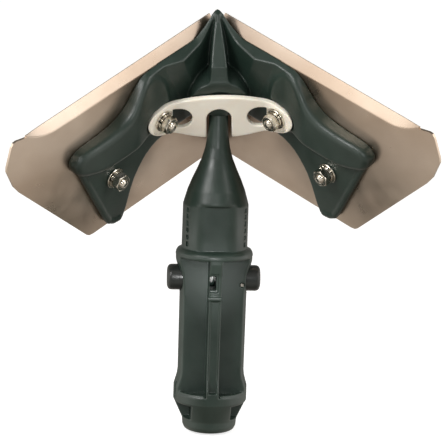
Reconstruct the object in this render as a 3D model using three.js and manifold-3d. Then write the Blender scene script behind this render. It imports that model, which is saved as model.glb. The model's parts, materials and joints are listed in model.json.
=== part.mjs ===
// Inside-corner scraper head on a swivelling quick-lock spigot.
// Millimetres. The handle axis is Z, its bottom end face is z = 0, and the open side of the
// V-shaped head faces -Y. The head is built about its own ball centre and then tilted.
import * as THREE from 'three';
import { mergeVertices } from 'three/addons/utils/BufferGeometryUtils.js';
import Module from 'manifold-3d';

const wasm = await Module();
wasm.setup();

const RAD = Math.PI / 180;
const GAP = 0.3;
const FINE = 36;
const COARSE = 18;

// How the head stands on the handle.
const BALL_Z = 148.7;
const BALL_R = 8.0;
const HEAD_PITCH = 33.4;
const HEAD_ROLL = -3.0;
const HEAD_TWIST = -3.0;

// Wings: b runs outward from the fold, z up, w inward from the wing's inner face.
const WING_HALF_ANGLE = 45;
const FOLD_Y = 20.3;
const SHEET = 1.0;
const BEND_Z = 25.1;
const FLANGE_AT_FOLD = 6.5;
const FLANGE_AT_RISE = 5.2;
const FLANGE_AT_END = 0.6;
const FLANGE_ANGLE = 35;
const BEND_RISE_B = 96;
const BEND_END_B = 112;
const BEND_END_Z = 31.2;

// Fasteners.
const BOLT_R = 1.9;
const BOLT_HOLE_R = 2.3;
const HEAD_R = 4.2;
const HEAD_RIM = 0.3;
const HEAD_DEPTH = 2.3;
const HEX_FLATS = 7.0;
const NUT_H = 3.2;
const WASHER_R = 4.7;
const WASHER_T = 0.8;
const LOCK_R = 3.8;
const LOCK_T = 1.0;
const STACK_GAP = 0.2;
const BOLT_PROUD = 1.3;
const HEAD_SUNK = 0.1;

// Moulded head body and retainer strip.
const PAD_TOP = 2.6;
const CORE_TOP = 6.5;
const ARM_TOP = 7.4;
const HOUSING_R = 13.5;
const SOCKET_R = 8.3;
const STRIP_T = 2.6;
const STRIP_MID_Y = -7.3;
const STRIP_FLAT_X = 18.4;
const STRIP_BEND_R = 8.0;
const RECESS_FLOOR_W = 4.3;
const RECESS_R = 5.4;
const RECESS_RUN = 1.6;
const NOTCH_R = 5.5;
const NOTCH_X = -0.35;
const NOTCH_Z = -4.2;
const WINDOW = { inner: 17.1, outer: 20.4, radius: 5.2, middle: -3.2 };

const BOLTS = {
  inner: { b: 39.2, z: -2.8, seat: RECESS_FLOOR_W },
  foot: { b: 68.0, z: -18.0, seat: PAD_TOP },
};

// Spigot and its two buttons.
const SHANK_FLAT_Y = 7.0;
const RIB_HALF = 2.8;
const POCKET_LOW = 18;
const POCKET_HIGH = 77.5;
const END_BORE_R = 8.6;
const END_BORE_DEPTH = 14;
const NECK_TOP_Z = 141.2;
const PIVOT_PIN_R = 2.5;
const PIVOT_PIN_TOP = 151;
const BUTTON_Z = 69.4;
const BUTTON_R = 5.75;
const BUTTON_OUT = 20.6;
const BUTTON_IN = 7.3;
const BUTTON_CUP_R = 2.5;
const BUTTON_CUP_END = 17.6;
const BUTTON_TRAVEL = 7.0;
const SPRING_R = 1.8;
const SPRING_WIRE_R = 0.4;
const SPRING_TURNS = 11;
const SPRING_END = 17.2;
const PIN_R = 0.7;
const PIN_X = 12.3;
const PIN_DROP = 2.0;
const PIN_TIP_Y = 4.3;

// Boxes cut into one quarter of the spigot and mirrored to the others, and the barrel's flats.
const PAST_WALL = 20;
const END_RECESS = { inner: 8.8, near: 1.6, low: 6.2, high: 13.4 };
const BARREL_GROOVE = { inner: 12.0, outer: 12.8, near: 7.2, far: 12 };
const BARREL_FLAT = { half: 10, y: 12.7, low: 83.4, high: 103 };
const SPRING_WINDOW = { left: -3.1, low: 66.2, high: 72.6 };
const RIB_LEDGE = { front: -15.2, back: -10, low: 62, high: 64 };
const PIN_HOLE = { tip: 3, head: 12 };

// The room below the socket in which the neck swings when the head tilts.
const NECK_WAY_HALF = NOTCH_R + 0.7;
const NECK_WAY_BACK = 5.6;

const COLOURS = {
  moulding: { color: 0x2e3a34, roughness: 0.5, metalness: 0.0 },
  button: { color: 0x1b1e1c, roughness: 0.35, metalness: 0.0 },
  steel: { color: 0xb7a896, roughness: 0.35, metalness: 0.9 },
  strip: { color: 0xe6dfce, roughness: 0.55, metalness: 0.0 },
  zinc: { color: 0xc9c4b8, roughness: 0.25, metalness: 1.0 },
};

// ---- solids ------------------------------------------------------------------------------

function signedVolume(position, index) {
  const a = new THREE.Vector3();
  const b = new THREE.Vector3();
  const c = new THREE.Vector3();
  let volume = 0;
  for (let i = 0; i < index.length; i += 3) {
    a.fromBufferAttribute(position, index[i]);
    b.fromBufferAttribute(position, index[i + 1]);
    c.fromBufferAttribute(position, index[i + 2]);
    volume += a.dot(b.cross(c));
  }
  return volume;
}

function toSolid(geometry) {
  const bare = geometry.clone();
  bare.deleteAttribute('normal');
  bare.deleteAttribute('uv');
  const merged = mergeVertices(bare, 1e-4);
  const position = merged.getAttribute('position');
  const index = merged.index.array;
  const flip = signedVolume(position, index) < 0;
  const triangles = [];
  for (let i = 0; i < index.length; i += 3) {
    const [a, b, c] = [index[i], index[i + 1], index[i + 2]];
    if (a !== b && b !== c && c !== a) triangles.push(a, flip ? c : b, flip ? b : c);
  }
  return new wasm.Manifold(new wasm.Mesh({
    numProp: 3,
    vertProperties: new Float32Array(position.array),
    triVerts: new Uint32Array(triangles),
  }));
}

function toGeometry(solid) {
  const mesh = solid.getMesh();
  const geometry = new THREE.BufferGeometry();
  geometry.setAttribute('position', new THREE.BufferAttribute(new Float32Array(mesh.vertProperties), 3));
  geometry.setIndex(Array.from(mesh.triVerts));
  geometry.computeVertexNormals();
  return geometry;
}

function joined(solids) {
  return solids.reduce((sum, solid) => sum.add(solid));
}

function cut(solid, cutters) {
  return cutters.reduce((rest, cutter) => rest.subtract(cutter), solid);
}

// A profile of [radius, height] points turned about Z.
function turned(profile, segments = FINE) {
  const points = profile.map(([radius, height]) => new THREE.Vector2(radius, height));
  return new THREE.LatheGeometry(points, segments).rotateX(Math.PI / 2);
}

function rod(radius, low, high, segments = COARSE) {
  return turned([[0, low], [radius, low], [radius, high], [0, high]], segments);
}

function box(low, high) {
  const size = high.map((value, i) => value - low[i]);
  const middle = high.map((value, i) => (value + low[i]) / 2);
  return new THREE.BoxGeometry(...size).translate(...middle);
}

function shapeOf(outline) {
  return new THREE.Shape(outline.map(([x, y]) => new THREE.Vector2(x, y)));
}

function extruded(shape, depth) {
  return new THREE.ExtrudeGeometry(shape, { depth, bevelEnabled: false, curveSegments: 12 });
}

// A plate in the wing's frame: outline in (b, z), from w = low to w = high.
function plate(shape, low, high) {
  return extruded(shape, high - low).rotateX(Math.PI / 2).translate(0, -low, 0);
}

function wingPlace(side) {
  const turn = new THREE.Matrix4().makeRotationZ(-side * (90 - WING_HALF_ANGLE) * RAD);
  return new THREE.Matrix4().makeTranslation(0, FOLD_Y, 0).multiply(turn);
}

// The same right-hand geometry put on the right wing, or mirrored on to the left one.
function onWing(geometry, side) {
  return geometry.clone().scale(side, 1, 1).applyMatrix4(wingPlace(side));
}

// Geometry along +Z, turned to lie along the inward normal of the wing at (b, z).
function alongBolt(geometry, bolt) {
  return geometry.clone().rotateX(Math.PI / 2).translate(bolt.b, 0, bolt.z);
}

const SIDES = [['left', -1], ['right', 1]];

function bothSides(geometry) {
  return SIDES.map(([, side]) => toSolid(onWing(geometry, side)));
}

// ---- fasteners ---------------------------------------------------------------------------

function stackHeights(seat) {
  const washer = seat + STACK_GAP;
  const lock = washer + WASHER_T + STACK_GAP;
  const nut = lock + LOCK_T + STACK_GAP;
  return { washer, lock, nut, tip: nut + NUT_H + BOLT_PROUD };
}

function boltSolid(tip) {
  const top = -SHEET + HEAD_SUNK;
  const body = toSolid(turned([
    [0, top], [HEAD_R, top], [HEAD_R, top + HEAD_RIM], [BOLT_R, top + HEAD_RIM + HEAD_DEPTH],
    [BOLT_R, tip - 0.4], [BOLT_R - 0.4, tip], [0, tip],
  ], COARSE));
  return body.subtract(toSolid(rod(1.45, top - 1, top + 1.3, 6)));
}

function boltClearance() {
  const top = -SHEET - 1;
  const rim = HEAD_R + GAP;
  const floor = -SHEET + HEAD_SUNK + HEAD_RIM + GAP;
  return turned([
    [0, top], [rim, top], [rim, floor], [BOLT_HOLE_R, floor + rim - BOLT_HOLE_R],
    [BOLT_HOLE_R, 30], [0, 30],
  ], COARSE);
}

function ringSolid(inner, outer, thickness, segments = COARSE) {
  const whole = toSolid(rod(outer, 0, thickness, segments));
  return whole.subtract(toSolid(rod(inner, -1, thickness + 1)));
}

function nutSolid() {
  const corner = HEX_FLATS / 2 / Math.cos(Math.PI / 6);
  const chamfer = toSolid(turned([
    [0, 0], [corner - 0.5, 0], [corner, 0.4], [corner, NUT_H - 0.4], [corner - 0.5, NUT_H], [0, NUT_H],
  ], COARSE));
  const hexagon = ringSolid(BOLT_R + GAP, corner, NUT_H, 6);
  return hexagon.intersect(chamfer);
}

function lockWasherSolid() {
  const split = box([0, -0.35, -1], [LOCK_R + 1, 0.35, LOCK_T + 1]);
  return ringSolid(BOLT_R + GAP, LOCK_R, LOCK_T).subtract(toSolid(split));
}

// ---- wings -------------------------------------------------------------------------------

const WING_START_B = 1.0;
const WING_OUTER_EDGE = [
  [80, -44.5], [82.4, -44], [84, -42.6], [118.4, 4.8], [121.2, 9.8], [123.9, 19.4], [123.6, 21.8],
  [120.2, 30.4], [119, 31.8], [117.4, 32],
];

// The bend line runs straight, then curves up to the top edge near the outer corner.
function bendRise(b) {
  return THREE.MathUtils.clamp((b - BEND_RISE_B) / (BEND_END_B - BEND_RISE_B), 0, 1) ** 2;
}

function bendHeight(b) {
  return THREE.MathUtils.lerp(BEND_Z, BEND_END_Z, bendRise(b));
}

// The flange is bent back along the bend line and narrows as the line rises.
function flangeSection(b) {
  const along = Math.min(b / BEND_RISE_B, 1);
  const straight = THREE.MathUtils.lerp(FLANGE_AT_FOLD, FLANGE_AT_RISE, along);
  const width = THREE.MathUtils.lerp(straight, FLANGE_AT_END, bendRise(b));
  const angle = FLANGE_ANGLE * RAD;
  const root = [0, bendHeight(b) - 0.4];
  const tip = [Math.sin(angle) * width, bendHeight(b) + Math.cos(angle) * width];
  const back = [SHEET * Math.cos(angle), -SHEET * Math.sin(angle)];
  return [root, tip, [tip[0] + back[0], tip[1] + back[1]], [SHEET, root[1]]];
}

// A bar whose four-cornered section, in (y, z), changes along X.
function loftedBar(stations, sectionAt) {
  const vertices = stations.flatMap((x) => sectionAt(x).flatMap(([y, z]) => [x, y, z]));
  const faces = [0, 1, 2, 0, 2, 3];
  for (let i = 0; i < stations.length - 1; i += 1) {
    for (let side = 0; side < 4; side += 1) {
      const a = 4 * i + side;
      const b = 4 * i + ((side + 1) % 4);
      faces.push(a, a + 4, b, b, a + 4, b + 4);
    }
  }
  const last = 4 * (stations.length - 1);
  faces.push(last, last + 2, last + 1, last, last + 3, last + 2);
  const geometry = new THREE.BufferGeometry();
  geometry.setAttribute('position', new THREE.Float32BufferAttribute(vertices, 3));
  geometry.setIndex(faces);
  return geometry;
}

function risingStations() {
  const count = 8;
  const spread = (BEND_END_B - BEND_RISE_B) / count;
  return Array.from({ length: count + 1 }, (_, i) => BEND_RISE_B + i * spread);
}

function wingOutline() {
  const bend = risingStations().reverse().map((b) => [b, bendHeight(b)]);
  return [[WING_START_B, -44.5], ...WING_OUTER_EDGE, ...bend, [WING_START_B, BEND_Z]];
}

function wingSolid() {
  const blade = toSolid(plate(shapeOf(wingOutline()), -SHEET, 0));
  const flange = toSolid(loftedBar([WING_START_B, ...risingStations()], flangeSection));
  const holes = Object.values(BOLTS).map((bolt) => toSolid(alongBolt(boltClearance(), bolt)));
  return cut(blade.add(flange), holes);
}

// ---- retainer strip ----------------------------------------------------------------------

// Half of the strip's middle line seen from above: flat, a bend, then parallel to the wing.
function stripLine(offset) {
  const points = [[0, STRIP_MID_Y + offset]];
  const radius = STRIP_BEND_R + offset;
  const centreY = STRIP_MID_Y - STRIP_BEND_R;
  for (let step = 0; step <= 6; step += 1) {
    const angle = (step / 6) * WING_HALF_ANGLE * RAD;
    points.push([STRIP_FLAT_X + radius * Math.sin(angle), centreY + radius * Math.cos(angle)]);
  }
  const [x, y] = points[points.length - 1];
  const run = 16;
  points.push([x + run * Math.SQRT1_2, y - run * Math.SQRT1_2]);
  return points;
}

function mirrored(points) {
  return points.map(([x, y]) => [-x, y]).reverse();
}

function stripBand(front, back) {
  const line = [...stripLine(back), ...stripLine(front).reverse()];
  const shape = shapeOf([...line.slice(1), ...mirrored(line.slice(1))]);
  return toSolid(extruded(shape, 60).translate(0, 0, -30));
}

// Front view of the strip, grown by a margin where the moulding must clear it.
function stripShape(margin) {
  const shape = new THREE.Shape();
  const top = 7.9 + margin;
  const end = 31.2 + margin;
  const low = -14.6 - margin;
  shape.moveTo(0, top);
  shape.bezierCurveTo(10, top, 16, 6.0 + margin, 22, 4.9 + margin);
  shape.bezierCurveTo(28, 4.6 + margin, end, 3.4, end, -0.8);
  shape.bezierCurveTo(end, -4.6, 28.5, -8.8 - margin, 24, -10.4 - margin);
  shape.bezierCurveTo(18, -12.4 - margin, 12, low, 5.3, low);
  shape.lineTo(-5.3, low);
  shape.bezierCurveTo(-12, low, -18, -12.4 - margin, -24, -10.4 - margin);
  shape.bezierCurveTo(-28.5, -8.8 - margin, -end, -4.6, -end, -0.8);
  shape.bezierCurveTo(-end, 3.4, -28, 4.6 + margin, -22, 4.9 + margin);
  shape.bezierCurveTo(-16, 6.0 + margin, -10, top, 0, top);
  return shape;
}

function throughFront(shape) {
  return toSolid(extruded(shape, 80).rotateX(Math.PI / 2).translate(0, 20, 0));
}

function slotWindow(side) {
  const shape = new THREE.Shape();
  const { inner, outer, radius, middle } = WINDOW;
  shape.moveTo(side * outer, middle - radius);
  shape.lineTo(side * outer, middle + radius);
  shape.lineTo(side * inner, middle + radius);
  shape.absarc(side * inner, middle, radius, 90 * RAD, 270 * RAD, side < 0);
  return throughFront(shape);
}

// A round-ended recess for the washer, open towards the viewer's side of the strip.
function recessSolid() {
  const bolt = BOLTS.inner;
  const low = RECESS_FLOOR_W;
  const first = alongBolt(rod(RECESS_R, low, 20), bolt);
  const second = first.clone().translate(RECESS_RUN, 0, 0);
  const between = box([bolt.b, -20, bolt.z - RECESS_R], [bolt.b + RECESS_RUN, -low, bolt.z + RECESS_R]);
  return [first, second, between];
}

function notchSolid() {
  const shape = new THREE.Shape();
  shape.moveTo(NOTCH_X - NOTCH_R, -30);
  shape.lineTo(NOTCH_X + NOTCH_R, -30);
  shape.lineTo(NOTCH_X + NOTCH_R, NOTCH_Z);
  shape.absarc(NOTCH_X, NOTCH_Z, NOTCH_R, 0, Math.PI, false);
  return throughFront(shape);
}

function stripSolid() {
  const band = stripBand(-STRIP_T / 2, STRIP_T / 2).intersect(throughFront(stripShape(0)));
  const holes = bothSides(alongBolt(rod(BOLT_HOLE_R, -5, 20), BOLTS.inner));
  const recesses = recessSolid().flatMap((geometry) => bothSides(geometry));
  const windows = SIDES.map(([, side]) => slotWindow(side));
  const seat = toSolid(new THREE.SphereGeometry(SOCKET_R, FINE, COARSE));
  return cut(band, [...holes, ...recesses, ...windows, notchSolid(), seat]);
}

// ---- moulded head body -------------------------------------------------------------------

const CORE_OUTLINE = [
  [-0.9, -7], [-0.9, 32.4], [3.4, 32.4], [5.2, 31], [9.6, 28.8], [13.6, 26.6], [16, 25.9], [44, 25.5],
  [52, 22.5], [57, 15.5], [50, -6.3], [30, -7],
];
const ARM_OUTLINE = [
  [28, -6], [30, 18], [46, 24], [53, 19.5], [58, 14], [64, 10.6], [72, 8.8], [86, 8.4], [90.4, 6],
  [91.4, 2], [89, -2], [83, -5], [75, -7.4], [61, -7], [48, -6.3],
];
const PAD_OUTLINE = [
  [-0.9, 24], [88, 5], [91.4, 4], [87.6, -3.6], [82.4, -17.6], [75.6, -35.6], [73.4, -41], [70, -43.8],
  [66, -44.4], [63.4, -43], [57.2, -27.5], [52, -20.6], [47, -16], [40, -13], [24, -12.2],
  [-0.9, -12.2],
];

function armGeometry() {
  const bevel = 2.6;
  const shape = shapeOf(ARM_OUTLINE);
  const options = {
    depth: ARM_TOP - bevel - 1, bevelThickness: bevel, bevelSize: bevel, bevelOffset: -bevel,
    bevelSegments: 3, curveSegments: 12,
  };
  const arm = new THREE.ExtrudeGeometry(shape, options);
  return arm.rotateX(Math.PI / 2).translate(0, -1, 0);
}

function spineSolid() {
  const rib = shapeOf([[FOLD_Y - 1, 32], [FOLD_Y - 6, 31], [-4, 14], [-4, 6], [FOLD_Y - 1, 0]]);
  const wedge = extruded(rib, 8).rotateY(Math.PI / 2).rotateX(Math.PI / 2);
  return toSolid(wedge.translate(-4, 0, 0));
}

function housingSolid() {
  const socket = toSolid(new THREE.SphereGeometry(SOCKET_R, FINE, COARSE));
  const mouth = toSolid(rod(SOCKET_R, 0, 40, FINE).rotateX(Math.PI / 2));
  const neckWay = toSolid(box([-NECK_WAY_HALF, -40, -40], [NECK_WAY_HALF, NECK_WAY_BACK, 0]));
  const front = toSolid(box([-40, -60, -40], [40, STRIP_MID_Y + STRIP_T / 2 + GAP, 40]));
  const shell = toSolid(new THREE.SphereGeometry(HOUSING_R, FINE, COARSE)).subtract(front);
  return { shell, cutters: [socket, mouth, neckWay] };
}

function bodySolid() {
  const slabs = [
    plate(shapeOf(PAD_OUTLINE), -SHEET, PAD_TOP),
    plate(shapeOf(CORE_OUTLINE), -SHEET, CORE_TOP),
    armGeometry(),
  ];
  const housing = housingSolid();
  const wingBacks = bothSides(box([-60, -GAP, -60], [140, 60, 60]));
  const whole = joined([...slabs.flatMap(bothSides), spineSolid(), housing.shell]);
  const stripRoom = stripBand(-40, STRIP_T / 2 + GAP).intersect(throughFront(stripShape(0.6)));
  const holes = Object.values(BOLTS).flatMap((bolt) => bothSides(alongBolt(boltClearance(), bolt)));
  return cut(whole, [...wingBacks, ...housing.cutters, stripRoom, ...holes]);
}

// ---- swivel ball -------------------------------------------------------------------------

function ballSolid() {
  const cutZ = -(BALL_Z - NECK_TOP_Z - GAP);
  const sphere = toSolid(new THREE.SphereGeometry(BALL_R, FINE, COARSE).rotateX(Math.PI / 2));
  const below = toSolid(box([-20, -20, -20], [20, 20, cutZ]));
  const bore = toSolid(rod(PIVOT_PIN_R + GAP, -20, PIVOT_PIN_TOP - BALL_Z + GAP));
  return cut(sphere, [below, bore]);
}

// ---- spigot ------------------------------------------------------------------------------

const SPIGOT_PROFILE = [
  [0, 0], [10.2, 0], [11.6, 1.1], [12.2, 3.9], [12.2, 5.4], [16.4, 14.4], [16.4, 20.8], [15.1, 25.5],
  [14.8, 28], [14.9, 62], [15.5, 72], [17, 78], [17, 81.4], [16.2, 82.6], [14.5, 82.9], [14.5, 102.7],
  [12.7, 109], [10.8, 113.8], [8.7, 118.4], [6.8, 123], [5.5, 127.6], [4.8, 132], [4.3, 137],
  [4.1, NECK_TOP_Z], [PIVOT_PIN_R, NECK_TOP_Z], [PIVOT_PIN_R, PIVOT_PIN_TOP - 0.6],
  [PIVOT_PIN_R - 0.6, PIVOT_PIN_TOP], [0, PIVOT_PIN_TOP],
];

// The right pin goes in from the front, the left one from the back.
function pinGeometry(side, radius, tip, outer) {
  const pin = rod(radius, tip, outer, 16).rotateX(side * Math.PI / 2);
  return pin.translate(side * PIN_X, 0, BUTTON_Z - PIN_DROP);
}

function spigotCutters() {
  const cutters = [rod(END_BORE_R, -5, END_BORE_DEPTH)];
  for (const front of [-1, 1]) {
    for (const side of [-1, 1]) {
      const pocket = box([RIB_HALF, SHANK_FLAT_Y, POCKET_LOW], [PAST_WALL, PAST_WALL, POCKET_HIGH]);
      const recess = box(
        [END_RECESS.inner, END_RECESS.near, END_RECESS.low],
        [PAST_WALL, PAST_WALL, END_RECESS.high],
      );
      const groove = box(
        [BARREL_GROOVE.inner, BARREL_GROOVE.near, BARREL_FLAT.low],
        [BARREL_GROOVE.outer, BARREL_GROOVE.far, BARREL_FLAT.high - 1],
      );
      for (const piece of [pocket, recess, groove]) cutters.push(piece.scale(side, front, 1));
    }
    const flat = box(
      [-BARREL_FLAT.half, BARREL_FLAT.y, BARREL_FLAT.low],
      [BARREL_FLAT.half, PAST_WALL, BARREL_FLAT.high],
    );
    cutters.push(flat.scale(1, front, 1));
  }
  cutters.push(rod(BUTTON_R + GAP, -40, 40).rotateY(Math.PI / 2).translate(0, 0, BUTTON_Z));
  cutters.push(box([SPRING_WINDOW.left, -PAST_WALL, SPRING_WINDOW.low], [0, 0, SPRING_WINDOW.high]));
  for (const [, side] of SIDES) {
    cutters.push(pinGeometry(side, PIN_R + GAP, PIN_HOLE.tip, PIN_HOLE.head));
  }
  return cutters.map(toSolid);
}

function spigotSolid() {
  const body = toSolid(turned(SPIGOT_PROFILE, FINE));
  const ledge = box(
    [-RIB_HALF, RIB_LEDGE.front, RIB_LEDGE.low],
    [RIB_HALF, RIB_LEDGE.back, RIB_LEDGE.high],
  );
  return cut(body.add(toSolid(ledge)), spigotCutters());
}

// ---- buttons -----------------------------------------------------------------------------

function buttonSolid() {
  const profile = [
    [0, BUTTON_CUP_END], [BUTTON_CUP_R, BUTTON_CUP_END], [BUTTON_CUP_R, BUTTON_IN], [BUTTON_R, BUTTON_IN],
    [BUTTON_R, BUTTON_OUT - 1.4], [BUTTON_R - 0.5, BUTTON_OUT - 0.4], [BUTTON_R - 1.4, BUTTON_OUT],
    [0, BUTTON_OUT],
  ];
  const body = toSolid(turned(profile, FINE).rotateY(Math.PI / 2));
  const room = PIN_R + GAP;
  const keyway = box(
    [PIN_X - room, -10, -PIN_DROP - room],
    [PIN_X + BUTTON_TRAVEL + room, -PIN_TIP_Y + GAP, -PIN_DROP + room],
  );
  return body.subtract(toSolid(keyway));
}

class Helix extends THREE.Curve {
  getPoint(t, target = new THREE.Vector3()) {
    const angle = 2 * Math.PI * SPRING_TURNS * t;
    const reach = SPRING_END - SPRING_WIRE_R;
    return target.set((2 * t - 1) * reach, SPRING_R * Math.cos(angle), SPRING_R * Math.sin(angle));
  }
}

function springGeometry() {
  const section = new THREE.Shape();
  section.absarc(0, 0, SPRING_WIRE_R, 0, 2 * Math.PI, false);
  return new THREE.ExtrudeGeometry(section, {
    extrudePath: new Helix(), steps: SPRING_TURNS * 10, curveSegments: 3, bevelEnabled: false,
  });
}

// ---- assembly ----------------------------------------------------------------------------

function piece(name, geometry, look) {
  const mesh = new THREE.Mesh(geometry, new THREE.MeshStandardMaterial(COLOURS[look]));
  mesh.name = name;
  return mesh;
}

function wingGroup(label, side) {
  const group = new THREE.Group();
  group.position.set(0, FOLD_Y, 0);
  group.rotation.z = -side * (90 - WING_HALF_ANGLE) * RAD;
  const wing = toGeometry(toSolid(toGeometry(wingSolid()).scale(side, 1, 1)));
  group.add(piece(`wing_${label}`, wing, 'steel'));
  for (const [place, bolt] of Object.entries(BOLTS)) {
    const heights = stackHeights(bolt.seat);
    const stack = new THREE.Group();
    stack.position.set(side * bolt.b, 0, bolt.z);
    stack.rotation.x = Math.PI / 2;
    const tag = `${place}_${label}`;
    const washer = piece(`washer_${tag}`, toGeometry(ringSolid(BOLT_R + GAP, WASHER_R, WASHER_T)), 'zinc');
    const lock = piece(`lock_washer_${tag}`, toGeometry(lockWasherSolid()), 'zinc');
    const nut = piece(`nut_${tag}`, toGeometry(nutSolid()), 'zinc');
    washer.position.z = heights.washer;
    lock.position.z = heights.lock;
    nut.position.z = heights.nut;
    stack.add(piece(`bolt_${tag}`, toGeometry(boltSolid(heights.tip)), 'zinc'), washer, lock, nut);
    group.add(stack);
  }
  return group;
}

function headGroup() {
  const head = new THREE.Group();
  head.position.set(0, 0, BALL_Z);
  head.rotation.set(HEAD_PITCH * RAD, HEAD_ROLL * RAD, HEAD_TWIST * RAD, 'ZYX');
  head.add(piece('head_body', toGeometry(bodySolid()), 'moulding'));
  head.add(piece('retainer_strip', toGeometry(stripSolid()), 'strip'));
  for (const [label, side] of SIDES) head.add(wingGroup(label, side));
  return head;
}

function handleGroup() {
  const handle = new THREE.Group();
  handle.add(piece('spigot', toGeometry(spigotSolid()), 'moulding'));
  for (const [label, side] of SIDES) {
    const button = piece(`button_${label}`, toGeometry(buttonSolid()), 'button');
    button.position.z = BUTTON_Z;
    button.rotation.z = side < 0 ? Math.PI : 0;
    const pinSolid = toSolid(pinGeometry(side, PIN_R, PIN_TIP_Y, SHANK_FLAT_Y));
    const pin = piece(`retaining_pin_${label}`, toGeometry(pinSolid), 'zinc');
    handle.add(button, pin);
  }
  const spring = piece('button_spring', toGeometry(toSolid(springGeometry())), 'zinc');
  spring.position.z = BUTTON_Z;
  const ball = piece('swivel_ball', toGeometry(ballSolid()), 'moulding');
  ball.position.z = BALL_Z;
  handle.add(spring, ball);
  return handle;
}

const scraper = new THREE.Group();
scraper.add(handleGroup(), headGroup());

export default scraper;
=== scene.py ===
"""Looks of the inside-corner scraper head: detailed pieces, materials, camera, light and floor.

Lengths in the shape functions are millimetres in one of two frames. The spigot's frame is the row
frame. The head's frame has its origin at the ball's centre, X to the right, Y towards the fold and
Z up along the fold. MM brings both to metres.
"""

import json
import math

import bmesh
import bpy
import numpy as np
from mathutils import Matrix, Vector


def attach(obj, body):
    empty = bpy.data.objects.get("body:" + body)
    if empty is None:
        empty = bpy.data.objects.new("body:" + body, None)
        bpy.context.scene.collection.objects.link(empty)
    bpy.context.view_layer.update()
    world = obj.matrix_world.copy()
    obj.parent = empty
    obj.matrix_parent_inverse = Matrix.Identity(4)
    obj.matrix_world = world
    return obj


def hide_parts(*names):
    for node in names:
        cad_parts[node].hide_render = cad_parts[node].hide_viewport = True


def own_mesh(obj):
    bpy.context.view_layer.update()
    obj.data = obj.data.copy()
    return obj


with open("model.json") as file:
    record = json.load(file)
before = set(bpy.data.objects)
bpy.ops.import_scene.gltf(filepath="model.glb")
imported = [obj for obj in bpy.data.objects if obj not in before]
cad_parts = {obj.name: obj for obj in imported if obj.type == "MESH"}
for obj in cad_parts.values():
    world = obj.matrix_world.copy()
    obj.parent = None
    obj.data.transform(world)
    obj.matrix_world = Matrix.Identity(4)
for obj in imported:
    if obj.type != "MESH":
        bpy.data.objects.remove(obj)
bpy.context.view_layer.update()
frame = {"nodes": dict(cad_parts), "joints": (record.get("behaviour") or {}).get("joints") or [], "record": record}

MM = 0.001
SIDES = {"left": -1, "right": 1}
MOUNTS = {m["name"]: m for m in frame["record"]["mounts"]}
JOINTS = {j["name"]: j for j in frame["joints"]}


def head_matrix():
    """The head's frame in metres, from the two working faces' normals and the ball's centre."""
    left = Vector(MOUNTS["left_working_face"]["axis"])
    right = Vector(MOUNTS["right_working_face"]["axis"])
    x = (right - left).normalized()
    y = (right + left).normalized()
    z = x.cross(y)
    turn = Matrix((x, y, z)).transposed().to_4x4()
    return Matrix.Translation(Vector(JOINTS["head_tilt"]["pos_m"])) @ turn @ Matrix.Scale(MM, 4)


HEAD = head_matrix()
ROW = Matrix.Scale(MM, 4)


# ---- materials ----------------------------------------------------------------------------


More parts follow.
